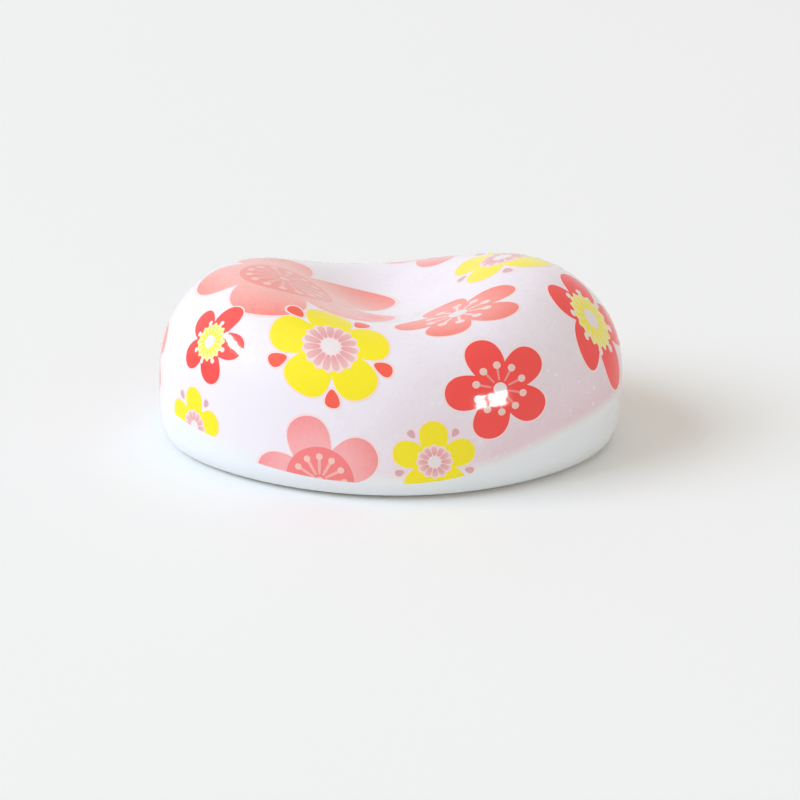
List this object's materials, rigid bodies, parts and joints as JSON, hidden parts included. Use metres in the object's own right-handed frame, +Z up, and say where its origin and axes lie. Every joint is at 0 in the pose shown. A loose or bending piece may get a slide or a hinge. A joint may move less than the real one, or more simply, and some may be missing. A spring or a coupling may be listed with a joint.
{
  "type": "chopstick rest",
  "caption": "Bean-shaped glazed porcelain chopstick rest with a lobe at each end and a dished saddle between them that holds the tips of a pair of chopsticks.",
  "frame": {"origin": "on the table, under the middle of the rest", "axes": "+X along the rest from the left lobe to the right one, +Y from the front to the back, +Z up"},
  "size_m": [0.05, 0.0324, 0.0199],
  "materials": {
    "bare_porcelain": "matt fired clay, bare at the foot and in the hollow",
    "white_glaze": "high gloss white glaze",
    "printed_transfer": "high gloss fired transfer, pale pink ground with scattered plum blossoms in red, coral and yellow"
  },
  "bodies": {
    "root": {"porcelain_body": "bare_porcelain", "white_glaze": "white_glaze", "transfer_film": "printed_transfer"}
  },
  "joints": []
}
